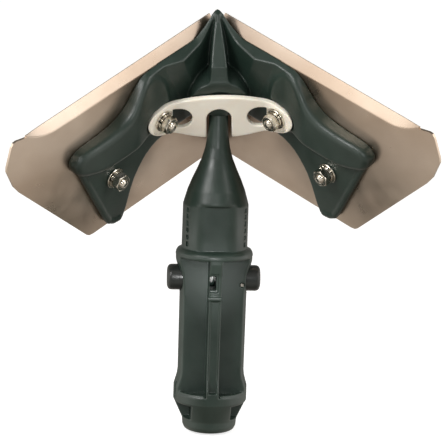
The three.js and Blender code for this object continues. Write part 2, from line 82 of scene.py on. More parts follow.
class Look:
    """A material with a principled shader, and short ways to add procedural nodes to it."""

    def __init__(self, name, base, roughness, metallic=0.0):
        self.material = bpy.data.materials.new(name)
        self.material.use_nodes = True
        self.nodes = self.material.node_tree.nodes
        self.links = self.material.node_tree.links
        self.shader = self.nodes["Principled BSDF"]
        self.set("Base Color", (*base, 1.0))
        self.set("Roughness", roughness)
        self.set("Metallic", metallic)
        self.coordinates = self.nodes.new("ShaderNodeTexCoord").outputs["Object"]

    def set(self, socket, value):
        self.shader.inputs[socket].default_value = value

    def noise(self, scale, detail, stretch=(1, 1, 1)):
        mapping = self.nodes.new("ShaderNodeMapping")
        mapping.inputs["Scale"].default_value = stretch
        self.links.new(self.coordinates, mapping.inputs["Vector"])
        noise = self.nodes.new("ShaderNodeTexNoise")
        noise.inputs["Scale"].default_value = scale
        noise.inputs["Detail"].default_value = detail
        self.links.new(mapping.outputs["Vector"], noise.inputs["Vector"])
        return noise.outputs["Fac"]

    def ramp(self, value, stops):
        """A colour that follows a value through (position, colour) stops."""
        ramp = self.nodes.new("ShaderNodeValToRGB")
        ramp.color_ramp.elements[0].position = stops[0][0]
        ramp.color_ramp.elements[1].position = stops[-1][0]
        for position, _ in stops[1:-1]:
            ramp.color_ramp.elements.new(position)
        for element, (_, colour) in zip(ramp.color_ramp.elements, stops):
            element.color = (*colour, 1.0)
        self.links.new(value, ramp.inputs["Fac"])
        return ramp.outputs["Color"]

    def vary_roughness(self, value, low, high):
        """Roughness from low to high over the middle part of a noise's range."""
        spread = self.nodes.new("ShaderNodeMapRange")
        spread.inputs["From Min"].default_value = 0.3
        spread.inputs["From Max"].default_value = 0.7
        spread.inputs["To Min"].default_value = low
        spread.inputs["To Max"].default_value = high
        self.links.new(value, spread.inputs["Value"])
        self.links.new(spread.outputs["Result"], self.shader.inputs["Roughness"])

    def colour_from(self, colour):
        self.links.new(colour, self.shader.inputs["Base Color"])

    def multiply_colour(self, colour):
        """Tints the colour that is already linked."""
        mix = self.nodes.new("ShaderNodeMix")
        mix.data_type = "RGBA"
        mix.blend_type = "MULTIPLY"
        mix.inputs["Factor"].default_value = 1.0
        self.links.new(self.shader.inputs["Base Color"].links[0].from_socket, mix.inputs["A"])
        self.links.new(colour, mix.inputs["B"])
        self.colour_from(mix.outputs["Result"])

    def distance_from_middle(self):
        """How far a point is from the object's middle plane, in metres."""
        parts = self.nodes.new("ShaderNodeSeparateXYZ")
        self.links.new(self.coordinates, parts.inputs["Vector"])
        size = self.nodes.new("ShaderNodeMath")
        size.operation = "ABSOLUTE"
        self.links.new(parts.outputs["X"], size.inputs[0])
        return size.outputs["Value"]

    def bump(self, value, distance, strength):
        """Relief from a value, on top of any relief added before."""
        bump = self.nodes.new("ShaderNodeBump")
        bump.inputs["Distance"].default_value = distance
        bump.inputs["Strength"].default_value = strength
        self.links.new(value, bump.inputs["Height"])
        if self.shader.inputs["Normal"].is_linked:
            previous = self.shader.inputs["Normal"].links[0].from_socket
            self.links.new(previous, bump.inputs["Normal"])
        self.links.new(bump.outputs["Normal"], self.shader.inputs["Normal"])


def moulding_look():
    look = Look("moulded_nylon", (0.026, 0.043, 0.035), 0.42)
    cloud = look.noise(60, 4)
    look.colour_from(look.ramp(cloud, [(0.3, (0.010, 0.021, 0.0155)), (0.7, (0.020, 0.035, 0.0275))]))
    look.vary_roughness(look.noise(140, 5), 0.32, 0.48)
    look.bump(look.noise(1400, 2), 0.00004, 0.35)
    look.bump(look.noise(260, 3), 0.00012, 0.3)
    return look.material


def button_look():
    look = Look("button_plastic", (0.010, 0.014, 0.012), 0.34)
    cloud = look.noise(200, 3)
    look.colour_from(look.ramp(cloud, [(0.3, (0.008, 0.011, 0.010)), (0.7, (0.014, 0.018, 0.016))]))
    look.vary_roughness(look.noise(300, 3), 0.28, 0.42)
    look.bump(look.noise(900, 2), 0.00003, 0.3)
    look.bump(look.noise(600, 1, (1.0, 0.02, 0.02)), 0.00006, 0.35)
    return look.material


def steel_look():
    look = Look("brushed_stainless", (0.62, 0.52, 0.43), 0.34, 1.0)
    cloud = look.noise(28, 4)
    look.colour_from(look.ramp(cloud, [(0.3, (0.57, 0.47, 0.385)), (0.7, (0.66, 0.56, 0.465))]))
    # Painted shade: the steel's colour darkens towards the fold, where the two wings face each other.
    painted_fold_shade = look.ramp(look.distance_from_middle(), [(0.008, (0.62, 0.60, 0.59)), (0.055, (1, 1, 1))])
    smears = look.ramp(look.noise(16, 5, (1, 1, 2.2)), [(0.35, (1, 1, 1)), (0.62, (0.86, 0.82, 0.78))])
    look.multiply_colour(painted_fold_shade)
    look.multiply_colour(smears)
    look.vary_roughness(look.noise(90, 5), 0.26, 0.38)
    return look.material


def strip_look():
    look = Look("ivory_nylon", (0.80, 0.74, 0.62), 0.45)
    cloud = look.noise(120, 3)
    look.colour_from(look.ramp(cloud, [(0.3, (0.86, 0.80, 0.69)), (0.7, (0.91, 0.87, 0.77))]))
    look.bump(look.noise(1200, 2), 0.00003, 0.25)
    look.set("Subsurface Weight", 0.15)
    look.set("Subsurface Radius", (0.002, 0.0015, 0.001))
    return look.material


def zinc_look():
    look = Look("bright_plating", (0.74, 0.70, 0.62), 0.2, 1.0)
    look.vary_roughness(look.noise(700, 3), 0.12, 0.30)
    look.bump(look.noise(1500, 2), 0.00001, 0.3)
    return look.material


def spring_look():
    look = Look("satin_wire", (0.90, 0.91, 0.88), 0.5, 0.25)
    look.vary_roughness(look.noise(900, 3), 0.42, 0.56)
    look.bump(look.noise(2000, 2), 0.00001, 0.3)
    return look.material


LOOKS = {
    "moulding": moulding_look(),
    "button": button_look(),
    "steel": steel_look(),
    "strip": strip_look(),
    "zinc": zinc_look(),
    "spring": spring_look(),
}


def crisp_edges(piece, width, angle):
    """A small bevel, its width in millimetres, on edges sharper than an angle in degrees."""
    edge = piece.modifiers.new("edge", "BEVEL")
    edge.width = width * MM
    edge.segments = 2
    edge.limit_method = "ANGLE"
    edge.angle_limit = math.radians(angle)
    edge.harden_normals = True


def dress_cad_nodes():
    """Every CAD node gets the look of its slot, soft small edges and smooth shading."""
    slots = {s["node"]: s["material_slot"] for s in frame["record"]["subparts"]}
    for name, node in frame["nodes"].items():
        node.data.materials.clear()
        node.data.materials.append(LOOKS[slots[name]])
        node.data.shade_smooth()
        crisp_edges(node, 0.15, 35)


dress_cad_nodes()


# ---- mesh and field tools -------------------------------------------------------------------


def add_piece(name, points, faces, matrix, slot, body, *nodes):
    """A mesh piece given in millimetres, placed by a matrix, riding on a body for some CAD nodes."""
    mesh = bpy.data.meshes.new(name)
    mesh.from_pydata([matrix @ Vector(p) for p in points], [], [tuple(f) for f in faces])
    mesh.validate()
    shell = bmesh.new()
    shell.from_mesh(mesh)
    bmesh.ops.remove_doubles(shell, verts=shell.verts, dist=1e-7)
    bmesh.ops.recalc_face_normals(shell, faces=shell.faces)
    shell.to_mesh(mesh)
    shell.free()
    mesh.shade_smooth()
    mesh.materials.append(LOOKS[slot])
    piece = bpy.data.objects.new(name, mesh)
    bpy.context.scene.collection.objects.link(piece)
    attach(piece, body)
    if nodes:
        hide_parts(*nodes)
    return piece


def lighten(piece, ratio):
    """Keeps a share of a fine mesh's faces and shades by the larger ones."""
    thinner = piece.modifiers.new("lighten", "DECIMATE")
    thinner.ratio = ratio
    shade = piece.modifiers.new("shade", "WEIGHTED_NORMAL")
    shade.weight = 75


def union(a, b, radius):
    """Two fields joined, with a fillet of about the radius; the fields are negative inside."""
    share = np.clip(0.5 + 0.5 * (b - a) / radius, 0, 1)
    return b + (a - b) * share - radius * share * (1 - share)


def common(a, b, radius):
    """Where both fields are inside, with a rounded edge."""
    return -union(-a, -b, radius)


def without(a, b, radius):
    """The first field less the second, with a rounded edge."""
    return -union(-a, b, radius)


def outline_distance(u, v, outline):
    """Signed distance in a plane to a closed outline, negative inside."""
    u, v = np.broadcast_arrays(np.asarray(u, float), np.asarray(v, float))
    nearest = np.full(u.shape, np.inf)
    inside = np.zeros(u.shape, bool)
    for (u0, v0), (u1, v1) in zip(outline, outline[1:] + outline[:1]):
        du, dv = u1 - u0, v1 - v0
        t = np.clip(((u - u0) * du + (v - v0) * dv) / (du * du + dv * dv), 0, 1)
        nearest = np.minimum(nearest, (u - u0 - t * du) ** 2 + (v - v0 - t * dv) ** 2)
        if dv:
            crossing = (v0 > v) != (v1 > v)
            inside ^= crossing & (u < u0 + du * (v - v0) / dv)
    return np.where(inside, -1, 1) * np.sqrt(nearest)


def line_distance(u, v, line):
    """Distance in a plane to an open line of points."""
    nearest = np.inf
    for (u0, v0), (u1, v1) in zip(line, line[1:]):
        du, dv = u1 - u0, v1 - v0
        t = np.clip(((u - u0) * du + (v - v0) * dv) / (du * du + dv * dv), 0, 1)
        nearest = np.minimum(nearest, np.hypot(u - u0 - t * du, v - v0 - t * dv))
    return nearest


def rounded(outline, times=2):
    """An outline whose corners are cut a number of times, so that they read as curves."""
    for _ in range(times):
        softer = []
        for (u0, v0), (u1, v1) in zip(outline, outline[1:] + outline[:1]):
            softer.append((0.75 * u0 + 0.25 * u1, 0.75 * v0 + 0.25 * v1))
            softer.append((0.25 * u0 + 0.75 * u1, 0.25 * v0 + 0.75 * v1))
        outline = softer
    return outline


def grid(low, high, step):
    """Coordinate arrays that together span a box, one step apart."""
    axes = [np.arange(a, b + step, step) for a, b in zip(low, high)]
    return np.meshgrid(*axes, indexing="ij", sparse=True)


def surface_net(field, low, step):
    """Quads on a field's zero level, with one point in each cell that the surface crosses."""
    inside = field < 0
    corners = [(i, j, k) for i in (0, 1) for j in (0, 1) for k in (0, 1)]
    size = [n - 1 for n in field.shape]
    count = np.zeros(size, np.int8)
    for i, j, k in corners:
        count += inside[i : size[0] + i, j : size[1] + j, k : size[2] + k]
    active = (count > 0) & (count < 8)
    cells = np.argwhere(active)
    number = np.full(size, -1)
    number[active] = np.arange(len(cells))
    total = np.zeros((len(cells), 3))
    hits = np.zeros(len(cells))
    for near in corners:
        for axis in range(3):
            if near[axis]:
                continue
            far = [n + (i == axis) for i, n in enumerate(near)]
            a = field[tuple((cells + near).T)]
            b = field[tuple((cells + far).T)]
            cut = (a < 0) != (b < 0)
            point = np.array(near, float) + np.zeros((cut.sum(), 3))
            point[:, axis] = a[cut] / (a[cut] - b[cut])
            total[cut] += point
            hits[cut] += 1
    points = np.array(low) + step * (cells + total / hits[:, None])
    faces = []
    for axis in range(3):
        u = np.eye(3, dtype=int)[(axis + 1) % 3]
        v = np.eye(3, dtype=int)[(axis + 2) % 3]
        first = [slice(1, n) for n in size]
        second = [slice(1, n) for n in size]
        first[axis] = slice(0, size[axis])
        second[axis] = slice(1, size[axis] + 1)
        a, b = inside[tuple(first)], inside[tuple(second)]
        at = np.argwhere(a != b) + (u + v)
        ring = np.stack([number[tuple(c.T)] for c in (at - u - v, at - v, at, at - u)], 1)
        faces.append(np.where(b[a != b][:, None], ring[:, ::-1], ring))
    return points.tolist(), np.concatenate(faces).tolist()


def on_circle(radius, i, count, z=0.0):
    """Point i of count evenly spaced points on a circle about Z."""
    angle = 2 * math.pi * i / count
    return (radius * math.cos(angle), radius * math.sin(angle), z)


def circle(radius, count, z):
    return [on_circle(radius, i, count, z) for i in range(count)]


def turned(profile, count):
    """A closed surface of (radius, height) points turned about Z; the ends lie on the axis."""
    rings = profile[1:-1]
    points = [(0, 0, profile[0][1]), (0, 0, profile[-1][1])]
    for radius, height in rings:
        points += circle(radius, count, height)
    faces = []
    for i in range(count):
        after = (i + 1) % count
        faces.append((0, 2 + after, 2 + i))
        for ring in range(len(rings) - 1):
            low = 2 + ring * count
            faces.append((low + i, low + after, low + count + after, low + count + i))
        last = 2 + (len(rings) - 1) * count
        faces.append((1, last + i, last + after))
    return points, faces


def ring_surface(rows, count, closed_start=None, closed_end=None):
    """Faces over rows of count points each, with a middle point closing either end."""
    points = [p for row in rows for p in row]
    faces = []
    for r in range(len(rows) - 1):
        for i in range(count):
            j = (i + 1) % count
            faces.append((r * count + i, r * count + j, (r + 1) * count + j, (r + 1) * count + i))
    for middle, row in ((closed_start, 0), (closed_end, len(rows) - 1)):
        if middle is not None:
            points.append(middle)
            for i in range(count):
                faces.append((len(points) - 1, row * count + i, row * count + (i + 1) % count))
    return points, faces


# ---- head: moulded body ---------------------------------------------------------------------
#
# On a wing, b is the distance from the fold, z the height and w the height over the inner face.

FOLD_Y = 20.3
HALF = math.sqrt(0.5)
# For each place: the bolt's b and z, and the w of the seat under its washer.
BOLTS = {"inner": (39.2, -2.8, 4.3), "foot": (68.0, -18.0, 2.6)}

CORE_OUTLINE = [
    (-0.9, -12.5), (-0.9, 34), (3.2, 34), (5.4, 31.6), (9.4, 28.8), (13.4, 26.6), (16, 25.9),
    (44, 25.6), (50, 23), (54, 17), (52, -6.3), (42, -9), (34, -12.5),
]
CORE_SOFT = 0.6
CORE_DRAFT = 0.35
# The two facets beside the rib meet in a crease that leans outward as it rises.
CREASE_FOOT = (22.5, 11)
CREASE_LEAN = 0.35
CREASE_TOP = 5.6
FACET_TO_RIB = 0.17
FACET_TO_ARM = 0.30
FACET_FOOT = 3.0
CORE_THINNEST = 1.6

PAD_OUTLINE = [
    (-0.9, 20), (50, 12), (88, 5), (91.4, 4), (87.6, -3.6), (82.4, -17.6), (75.6, -35.6), (73.4, -41),
    (70, -43.8), (66, -44.4), (63.4, -43), (57.2, -27.5), (52, -20.6), (47, -16), (40, -13),
    (24, -12.2), (-0.9, -12.2),
]
PAD_TOP = 2.6
PAD_BEAD = [(90.0, 3.6), (86.2, -4), (81.1, -18), (74.4, -36), (72.2, -41), (69.6, -42.6), (66.4, -43)]
BEAD_W = 1.7
BEAD_R = 1.5

ARM_OUTLINE = [
    (33, -5.5), (33, 14), (40, 23.4), (47, 24.2), (53, 19.5), (58, 14), (64, 10.6), (72, 8.9),
    (86, 8.2), (90, 6.2), (91.6, 3), (90, -2.4), (84, -5.2), (75, -7.4), (61, -7), (48, -6.3),
]
ARM_TOP = 7.5
ARM_SOFT = 3.2
# Towards the strip the arm sinks; towards its far end it thins.
ARM_SINK = 3.6
ARM_SINK_FROM = 59
ARM_SINK_RUN = 17
ARM_THIN_FROM = 60
ARM_THIN = 0.0015

RIB_TOP = 34
RIB_FOOT = -2
RIB_HEIGHTS = [0, 15, 19.7, 24, 28, 31, 34]
RIB_WIDTHS = [4.2, 3.9, 3.45, 2.8, 1.9, 1.2, 1.0]
RIB_FRONTS = [-5, -4.6, -2.5, 3.5, 10, 14.5, 16.5]
RIB_FLARE = 2.6

DOME_X, DOME_Y, DOME_Z = 13.3, 13.6, 13.4
DOME_POWER = 2.5
SOCKET_R = 8.4
NECK_WAY_HALF = 6.2
NECK_WAY_BACK = 5.6
HOUSING_FRONT = -5.7
HOUSING_R = 15

# The strip's middle sheet is flat across the ball, bends, and then runs parallel to the wings.
STRIP_FLAT_END = 18.4
STRIP_BEND_R = 8.0
STRIP_MID_Y = -7.3
STRIP_HALF_T = 1.3
STRIP_ROOM = 0.6
STRIP_BACK_ROOM = 1.55
STRIP_HALF = [
    (0, 7.9), (8, 7.6), (15.5, 6.4), (20.5, 5.2), (25.5, 4.7), (29.2, 3.8), (31.1, 1.2), (31.1, -2.2),
    (29.3, -6.2), (26.4, -9.0), (22.6, -10.9), (17.5, -12.0), (12, -13.6), (6, -14.6), (0, -14.8),
]
STRIP_OUTLINE = rounded(STRIP_HALF + [(-x, z) for x, z in reversed(STRIP_HALF[1:-1])])


def wing_frame(x, y):
    """Distance from the middle plane, then b and w on the nearer wing."""
    across = np.abs(x)
    return across, (across - y + FOLD_Y) * HALF, -(across + y - FOLD_Y) * HALF


def strip_distance(x, y):
    """Signed distance from the strip's middle sheet."""
    x = np.abs(x)
    centre = STRIP_MID_Y - STRIP_BEND_R
    bend = np.hypot(x - STRIP_FLAT_END, y - centre) - STRIP_BEND_R
    slope = (x + y - STRIP_FLAT_END - centre - 2 * STRIP_BEND_R * HALF) * HALF
    beyond = np.where(x - STRIP_FLAT_END < y - centre, bend, slope)
    return np.where(x < STRIP_FLAT_END, y - STRIP_MID_Y, beyond)


def core_height(b, z):
    """The core's w: a crease, a facet falling to the rib and one falling to the arm."""
    crease = b - CREASE_FOOT[0] - CREASE_LEAN * (z - CREASE_FOOT[1])
    to_arm = np.maximum(CREASE_TOP - FACET_TO_ARM * crease, FACET_FOOT)
    return np.maximum(np.minimum(CREASE_TOP + FACET_TO_RIB * crease, to_arm), CORE_THINNEST)


def arm_height(b):
    sink = np.clip((ARM_SINK_FROM - b) / ARM_SINK_RUN, 0, 1)
    thin = ARM_THIN * np.maximum(b - ARM_THIN_FROM, 0) ** 2
    return ARM_TOP - ARM_SINK * sink**2 * (3 - 2 * sink) - thin


def dome_distance(across, y, z, w):
    """The ball's housing: a squarish dome that flares up into the rib, in front of the wings."""
    half_width = np.interp(z.ravel(), RIB_HEIGHTS, RIB_WIDTHS).reshape(z.shape)
    front = np.interp(z.ravel(), RIB_HEIGHTS, RIB_FRONTS).reshape(z.shape)
    rib = common(across - half_width, (front - y) * 0.6, 0.6)
    rib = common(common(rib, z - RIB_TOP, 0.5), RIB_FOOT - z, 0.5)
    reach = (across / DOME_X) ** DOME_POWER + (np.abs(y) / DOME_Y) ** DOME_POWER
    reach = (reach + (np.abs(z) / DOME_Z) ** DOME_POWER) ** (1 / DOME_POWER)
    return common(union((reach - 1) * DOME_X, rib, RIB_FLARE), -w - 0.3, 0.2)


def body_field(x, y, z, step):
    """Half of the moulding, from plates on the wing, a rib and the ball's dome, less its hollows."""
    across, b, w = wing_frame(x, y)
    spacing = step * HALF
    reach = np.arange(b.min(), b.max() + spacing, spacing)
    row = np.rint((b - reach[0]) / spacing).astype(int)[:, :, 0]
    heights = z.reshape(1, -1)
    column = reach.reshape(-1, 1)
    core = outline_distance(column, heights, rounded(CORE_OUTLINE, 1))[row]
    arm = outline_distance(column, heights, rounded(ARM_OUTLINE))[row]
    pad = outline_distance(column, heights, rounded(PAD_OUTLINE, 1))[row]
    bead = line_distance(column, heights, PAD_BEAD)[row]

    field = common(core + CORE_DRAFT * w, (w - core_height(b, z)) * 0.97, CORE_SOFT)
    field = union(field, common(pad, w - PAD_TOP, 0.7), 0.8)
    field = union(field, np.hypot(bead, w - BEAD_W) - BEAD_R, 0.7)
    field = union(field, common(arm, w - arm_height(b), ARM_SOFT), 0.9)
    field = union(field, dome_distance(across, y, z, w), 1.0)
    field = common(field, -w, 0.1)

    field = without(field, np.hypot(np.hypot(across, y), z) - SOCKET_R, 0.3)
    field = without(field, np.maximum(np.hypot(across, z) - SOCKET_R, y), 0.4)
    neck_way = np.maximum(np.maximum(across - NECK_WAY_HALF, y - NECK_WAY_BACK), z)
    field = without(field, neck_way, 0.5)
    front_room = np.maximum(y - HOUSING_FRONT, np.hypot(across, z) - HOUSING_R)
    field = without(field, front_room, 0.5)
    strip = outline_distance(x.reshape(-1, 1), heights, STRIP_OUTLINE)[:, None, :]
    strip_room = np.maximum(strip - STRIP_ROOM, strip_distance(x, y) - STRIP_BACK_ROOM)
    return without(field, strip_room, 0.3)


def add_head_body(step=0.45):
    low = (0.5 * step, -50.5, -46)
    x, y, z = grid(low, (67.5, 21.5, 35.5), step)
    half = body_field(x, y, z, step).astype(np.float32)
    whole = np.concatenate([half[::-1], half])
    low = (-low[0] - step * (len(half) - 1), low[1], low[2])
    points, faces = surface_net(whole, low, step)
    body = add_piece("moulded_body", points, faces, HEAD, "moulding", "head", "head_body")
    lighten(body, 0.3)


# ---- head: strip ----------------------------------------------------------------------------

NOTCH_X, NOTCH_Z, NOTCH_R = -0.35, -4.2, 5.5
WINDOW_INNER, WINDOW_OUTER, WINDOW_Z, WINDOW_R = 17.1, 20.4, -3.2, 5.2
RECESS_R, RECESS_RUN = 5.4, 1.6
BALL_ROOM_R = 8.3


def add_strip(step=0.32):
    """A nylon strip with a notch for the neck, two half-moon windows and two washer recesses."""
    low = (-32.5, -21.5, -16)
    x, y, z = grid(low, (32.5, -4, 9.2), step)
    across, b, w = wing_frame(x, y)
    sheet = np.abs(strip_distance(x, y)) - STRIP_HALF_T
    outline = outline_distance(x.reshape(-1, 1), z.reshape(1, -1), STRIP_OUTLINE)[:, None, :]
    field = common(outline, sheet, 0.75)
    notch = np.hypot(x - NOTCH_X, np.maximum(z - NOTCH_Z, 0)) - NOTCH_R
    field = without(field, notch, 0.5)
    round_end = np.hypot(np.maximum(WINDOW_INNER - across, 0), z - WINDOW_Z) - WINDOW_R
    field = without(field, np.maximum(round_end, across - WINDOW_OUTER), 0.4)
    bolt_b, bolt_z, seat = BOLTS["inner"]
    along = b - bolt_b - np.clip(b - bolt_b, 0, RECESS_RUN)
    recess = np.maximum(np.hypot(along, z - bolt_z) - RECESS_R, seat - w)
    field = without(field, recess, 0.35)
    field = without(field, np.hypot(np.hypot(x, y), z) - BALL_ROOM_R, 0.3)
    points, faces = surface_net(field.astype(np.float32), low, step)
    strip = add_piece("ivory_strip", points, faces, HEAD, "strip", "head", "retainer_strip")
    lighten(strip, 0.5)


# ---- head: wings ----------------------------------------------------------------------------

SHEET = 1.0
BEND_Z = 25.1
BEND_DEGREES = 35
BEND_R = 1.8
BEND_STEPS = 5
# Near the wing's end the bend rises, from the first b to the second, up to a height.
BEND_RISE = (96.0, 112.0, 31.2)
FLANGE_AT_FOLD, FLANGE_AT_RISE, FLANGE_AT_END = 6.5, 5.2, 0.6
WING_START = 1.0
WING_BOTTOM = -44.5
WING_EDGE = [
    (80, WING_BOTTOM), (82.4, -44), (84, -42.6), (118.4, 4.8), (121.2, 9.8), (123.9, 19.4),
    (123.6, 21.8), (120.2, 30.4), (119, 31.8), (117.4, 32),
]
# The countersunk holes' radii at the inner and at the outer face.
HOLE_RADII = (2.3, 4.5)
HOLE_POINTS = 32


def rise_at(b):
    start, end, _ = BEND_RISE
    return min(max((b - start) / (end - start), 0), 1) ** 2


def flange_profile(b, face):
    """The bent part of one face of the sheet at b, as (y, z): a small arc, then a straight run."""
    straight = FLANGE_AT_FOLD + (FLANGE_AT_RISE - FLANGE_AT_FOLD) * min(b / BEND_RISE[0], 1)
    width = straight + (FLANGE_AT_END - straight) * rise_at(b)
    height = BEND_Z + (BEND_RISE[2] - BEND_Z) * rise_at(b)
    bend = math.radians(BEND_DEGREES)
    tangent = BEND_R * math.tan(bend / 2)
    centre = (BEND_R, height - tangent)
    reach = BEND_R - face * SHEET
    arc = []
    for i in range(BEND_STEPS + 1):
        angle = bend * i / BEND_STEPS
        arc.append((centre[0] - reach * math.cos(angle), centre[1] + reach * math.sin(angle)))
    run = max(width - tangent, 0.1)
    y, z = arc[-1]
    return arc + [(y + run * math.sin(bend), z + run * math.cos(bend))]


def wing_face(shell, stations, face, hole_radius):
    """One face of the sheet with its flange; gives back its rim and its holes' rims."""
    columns = [[shell.verts.new((b, y, z)) for y, z in flange_profile(b, face)] for b in stations]
    corners = [(WING_START, WING_BOTTOM), *WING_EDGE]
    edge = [shell.verts.new((b, face * SHEET, z)) for b, z in corners]
    loop = edge + [column[0] for column in reversed(columns)]
    edges = [shell.edges.new((p, q)) for p, q in zip(loop, loop[1:] + loop[:1])]
    holes = []
    for b, z, _ in BOLTS.values():
        hole = []
        for i in range(HOLE_POINTS):
            across, up, _ = on_circle(hole_radius, i, HOLE_POINTS)
            hole.append(shell.verts.new((b + across, face * SHEET, z + up)))
        edges += [shell.edges.new((p, q)) for p, q in zip(hole, hole[1:] + hole[:1])]
        holes.append(hole)
    bmesh.ops.triangle_fill(shell, use_beauty=True, edges=edges, normal=(0, -1, 0))
    for before, after in zip(columns, columns[1:]):
        for i in range(len(before) - 1):
            shell.faces.new((before[i], before[i + 1], after[i + 1], after[i]))
    flange_edge = [column[-1] for column in reversed(columns[:-1])]
    rim = edge + columns[-1] + flange_edge + list(reversed(columns[0][:-1]))
    return rim, holes


def add_wing(label, side):
    """The folded sheet with countersunk holes, built in (b, y, z) and turned to its side."""
    start, end, _ = BEND_RISE
    before, over = 12, 10
    stations = [WING_START] + [start * i / before for i in range(1, before)]
    stations += [start + (end - start) * i / over for i in range(over + 1)]
    shell = bmesh.new()
    inner_rim, inner_holes = wing_face(shell, stations, 0, HOLE_RADII[0])
    outer_rim, outer_holes = wing_face(shell, stations, 1, HOLE_RADII[1])
    for near, far in [(inner_rim, outer_rim), *zip(inner_holes, outer_holes)]:
        for i in range(len(near)):
            j = (i + 1) % len(near)
            if near[i] is not near[j]:
                shell.faces.new((near[i], near[j], far[j], far[i]))
    place = Matrix.Translation((0, FOLD_Y, 0)) @ Matrix.Rotation(-side * math.pi / 4, 4, "Z")
    place = place @ Matrix.Diagonal((side, 1, 1, 1))
    points = [place @ v.co for v in shell.verts]
    shell.verts.index_update()
    polygons = [[v.index for v in f.verts] for f in shell.faces]
    shell.free()
    wing = add_piece(f"blade_{label}", points, polygons, HEAD, "steel", "head", f"wing_{label}")
    wing.data.set_sharp_from_angle(angle=math.radians(18))


# ---- fasteners ------------------------------------------------------------------------------

BOLT_SPIN = {"inner_left": 12, "inner_right": 38, "foot_left": 24, "foot_right": 3}
# Heights over the seat at which the stack's parts start, and the bolt's end.
WASHER_AT, LOCK_AT, NUT_AT, TIP_AT = 0.1, 1.1, 2.4, 6.9
THREAD_R, THREAD_PITCH, THREAD_DEPTH = 1.98, 0.7, 0.36
BORE_R = 2.15
WASHER_R, WASHER_THICKNESS = 4.7, 0.85
LOCK_R, LOCK_THICKNESS = 3.8, 1.1
NUT_HEIGHT, NUT_FLATS = 3.2, 7.0


def bolt_matrix(side, place):
    """Axis +Z along the wing's inward normal from its inner face, at one bolt."""
    b, z, _ = BOLTS[place]
    inward = Vector((-side * HALF, -HALF, 0))
    up = Vector((0, 0, 1))
    turn = Matrix((up, inward.cross(up), inward)).transposed().to_4x4()
    origin = Vector((side * HALF * b, FOLD_Y - HALF * b, z))
    return HEAD @ Matrix.Translation(origin) @ turn


def hexagon_radius(flat_radius, i, count):
    """How far a hexagon's outline is from its middle, at point i of count."""
    return flat_radius / math.cos((2 * math.pi * i / count) % (math.pi / 3) - math.pi / 6)


def bolt_shape(tip):
    """A countersunk bolt with a hexagon socket and a real thread up to its end."""
    count = 32
    top = -SHEET + 0.1
    head_r, neck, socket_flat, socket_depth = 4.2, top + 2.6, 1.3, 1.4
    rows = []
    for z in (top + socket_depth, top):
        rows.append([on_circle(hexagon_radius(socket_flat, i, count), i, count, z) for i in range(count)])
    rows += [circle(head_r - 0.3, count, top), circle(head_r, count, top + 0.15)]
    rows += [circle(head_r, count, top + 0.35), circle(THREAD_R, count, neck)]
    z = top + 3
    while z < tip - 0.25:
        row = []
        for i in range(count):
            phase = (z / THREAD_PITCH - i / count) % 1
            runout = 0.5 * max(0, z - tip + 0.7)
            r = THREAD_R - THREAD_DEPTH * (1 - abs(2 * phase - 1)) - runout
            row.append(on_circle(r, i, count, z))
        rows.append(row)
        z += THREAD_PITCH / 7
    rows += [circle(1.25, count, tip - 0.08), circle(1.0, count, tip)]
    return ring_surface(rows, count, (0, 0, top + socket_depth), (0, 0, tip))


def nut_shape(low, height, flats):
    """A hexagon nut whose corners are turned down at both ends, with a chamfered bore."""
    count = 72
    thread_r, chamfer = 1.75, 0.4
    flat_circle = flats / 2 - 0.12
    slope = math.tan(math.radians(30))
    corner = [hexagon_radius(flats / 2, i, count) for i in range(count)]
    drop = [(r - flat_circle) * slope for r in corner]
    rows = [circle(thread_r, count, low + chamfer), circle(BORE_R, count, low)]
    rows.append(circle(flat_circle, count, low))
    rows.append([on_circle(r, i, count, low + d) for i, (r, d) in enumerate(zip(corner, drop))])
    rows.append([on_circle(r, i, count, low + (height - d)) for i, (r, d) in enumerate(zip(corner, drop))])
    rows += [circle(flat_circle, count, low + height), circle(BORE_R, count, low + height)]
    rows += [circle(thread_r, count, low + (height - chamfer)), circle(thread_r, count, low + chamfer)]
    return ring_surface(rows, count)


def washer_shape(low, inner, outer, thickness):
    """A stamped washer, with soft edges and a larger one at the outside next to the seat."""
    soft = 0.14
    count = 56
    section = [
        (inner, soft), (inner + soft, 0), (outer - 2 * soft, 0), (outer, 2 * soft),
        (outer, thickness - soft), (outer - soft, thickness), (inner + soft, thickness),
        (inner, thickness - soft), (inner, soft),
    ]
    return ring_surface([circle(r, count, low + z) for r, z in section], count)


def lock_washer_shape(low, inner, outer, thickness):
    """A split ring whose ends stand a little apart."""
    count = 48
    gap, gap_at = 0.22, 0.8
    spread = 0.16
    section = [(inner, 0), (outer, 0), (outer, thickness), (inner, thickness)]
    points, faces = [], []
    for i in range(count + 1):
        share = i / count
        angle = gap / 2 + (2 * math.pi - gap) * share + gap_at
        lift = spread * (share - 0.5)
        for r, z in section:
            height = low + z * (1 - spread) + lift + spread / 2
            points.append((r * math.cos(angle), r * math.sin(angle), height))
    for i in range(count):
        for k in range(4):
            m = (k + 1) % 4
            faces.append((4 * i + k, 4 * i + m, 4 * i + 4 + m, 4 * i + 4 + k))
    faces += [(0, 1, 2, 3), (4 * count + 3, 4 * count + 2, 4 * count + 1, 4 * count)]
    return points, faces


